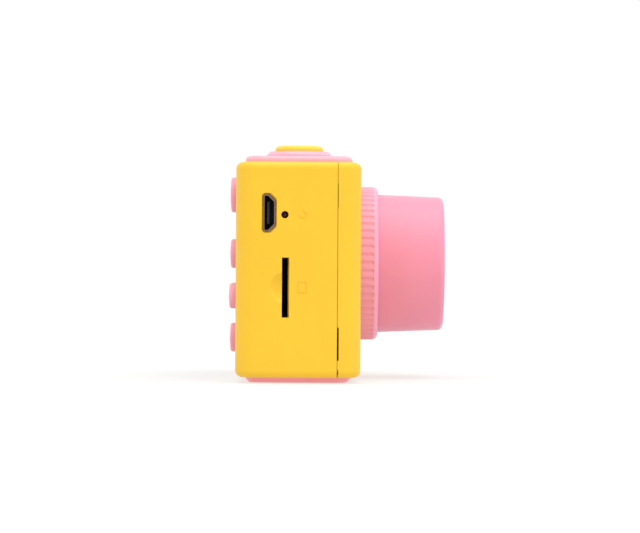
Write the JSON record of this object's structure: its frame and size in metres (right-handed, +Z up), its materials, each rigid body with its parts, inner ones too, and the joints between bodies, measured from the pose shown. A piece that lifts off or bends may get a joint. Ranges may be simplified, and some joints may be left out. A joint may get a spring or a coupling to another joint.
{
  "type": "kids digital camera",
  "caption": "Small toy digital camera: two-part yellow shell with pink top and base trims, a pink ribbed ring and lens tube, rear keys and screen, and a yellow shutter button.",
  "frame": {"origin": "centre of the base trim's underside, which the camera stands on", "axes": "+Z up, -Y the way the lens points, +X towards the strap side, so the sockets and the user's right hand are on -X"},
  "size_m": [0.08, 0.0453, 0.0487],
  "materials": {
    "yellow_shell": "fine satin spark-eroded moulding",
    "yellow_button": "smooth satin moulding",
    "pink_trim": "smooth satin moulding",
    "pink_lens": "smooth satin moulding",
    "pink_key": "smooth satin moulding",
    "clear_window": "clear polished acrylic",
    "screen_window": "polished acrylic with a black printed border",
    "lens_glass": "coated glass",
    "black_plastic": "matt black",
    "white_plastic": "natural nylon",
    "lcd": "polariser film",
    "circuit_board": "green solder mask",
    "chip": "matt epoxy",
    "flex": "amber polyimide",
    "steel": "plated steel",
    "socket_steel": "tinned stamped steel",
    "battery_film": "silver pouch film",
    "foam_tape": "double-sided foam tape",
    "wire": "insulated wire",
    "led": "phosphor over a white package"
  },
  "bodies": {
    "camera": {"front_shell": "yellow_shell", "rear_shell": "yellow_shell", "strap_pin": "steel", "top_trim": "pink_trim", "base_trim": "pink_trim", "base_screws": "steel", "board_screws": "steel", "lens_screws": "steel", "shutter_switch": "socket_steel", "key_switches": "socket_steel", "main_board": "circuit_board", "board_chips": "chip", "board_connectors": "white_plastic", "usb_socket": "socket_steel", "usb_tongue": "black_plastic", "card_socket": "black_plastic", "card_cover": "socket_steel", "reset_switch": "black_plastic", "window_tape": "foam_tape", "screen_window": "screen_window", "lcd_panel": "lcd", "lcd_frame": "white_plastic", "lcd_flex": "flex", "lens_ring": "pink_lens", "lens_barrel": "pink_lens", "lens_window": "clear_window", "lens_baffle": "black_plastic", "module_carrier": "black_plastic", "camera_module": "black_plastic", "lens_cell": "black_plastic", "lens_glass": "lens_glass", "module_board": "circuit_board", "image_sensor": "chip", "camera_flex": "flex", "battery": "battery_film", "battery_tape": "foam_tape", "battery_leads": "wire", "speaker": "black_plastic", "speaker_leads": "wire", "microphone": "steel", "flash_window": "clear_window", "flash_board": "white_plastic", "flash_led": "led", "flash_leads": "wire", "microphone_leads": "wire"},
    "shutter": {"shutter_button": "yellow_button", "shutter_plunger": "black_plastic"},
    "reset": {"reset_plunger": "black_plastic"},
    "power_key": {"power_button": "pink_key", "power_plunger": "black_plastic"},
    "up_key": {"up_button": "pink_key", "up_plunger": "black_plastic"},
    "left_key": {"left_button": "pink_key", "left_plunger": "black_plastic"},
    "ok_key": {"ok_button": "pink_key", "ok_plunger": "black_plastic"},
    "right_key": {"right_button": "pink_key", "right_plunger": "black_plastic"},
    "down_key": {"down_button": "pink_key", "down_plunger": "black_plastic"}
  },
  "joints": [
    {"name": "shutter_press", "type": "slide", "parent": "camera", "child": "shutter", "axis": [0, 0, -1], "range_m": [0, 0.0008], "stiffness_N_per_m": 400, "springref_m": -0.0008},
    {"name": "power_press", "type": "slide", "parent": "camera", "child": "power_key", "axis": [0, -1, 0], "range_m": [0, 0.0005], "stiffness_N_per_m": 400, "springref_m": -0.0008},
    {"name": "up_press", "type": "slide", "parent": "camera", "child": "up_key", "axis": [0, -1, 0], "range_m": [0, 0.0005], "stiffness_N_per_m": 400, "springref_m": -0.0008},
    {"name": "left_press", "type": "slide", "parent": "camera", "child": "left_key", "axis": [0, -1, 0], "range_m": [0, 0.0005], "stiffness_N_per_m": 400, "springref_m": -0.0008},
    {"name": "ok_press", "type": "slide", "parent": "camera", "child": "ok_key", "axis": [0, -1, 0], "range_m": [0, 0.0005], "stiffness_N_per_m": 400, "springref_m": -0.0008},
    {"name": "right_press", "type": "slide", "parent": "camera", "child": "right_key", "axis": [0, -1, 0], "range_m": [0, 0.0005], "stiffness_N_per_m": 400, "springref_m": -0.0008},
    {"name": "down_press", "type": "slide", "parent": "camera", "child": "down_key", "axis": [0, -1, 0], "range_m": [0, 0.0005], "stiffness_N_per_m": 400, "springref_m": -0.0008},
    {"name": "reset_press", "type": "slide", "parent": "camera", "child": "reset", "axis": [1, 0, 0], "range_m": [0, 0.00025], "stiffness_N_per_m": 200, "springref_m": -0.0008}
  ]
}
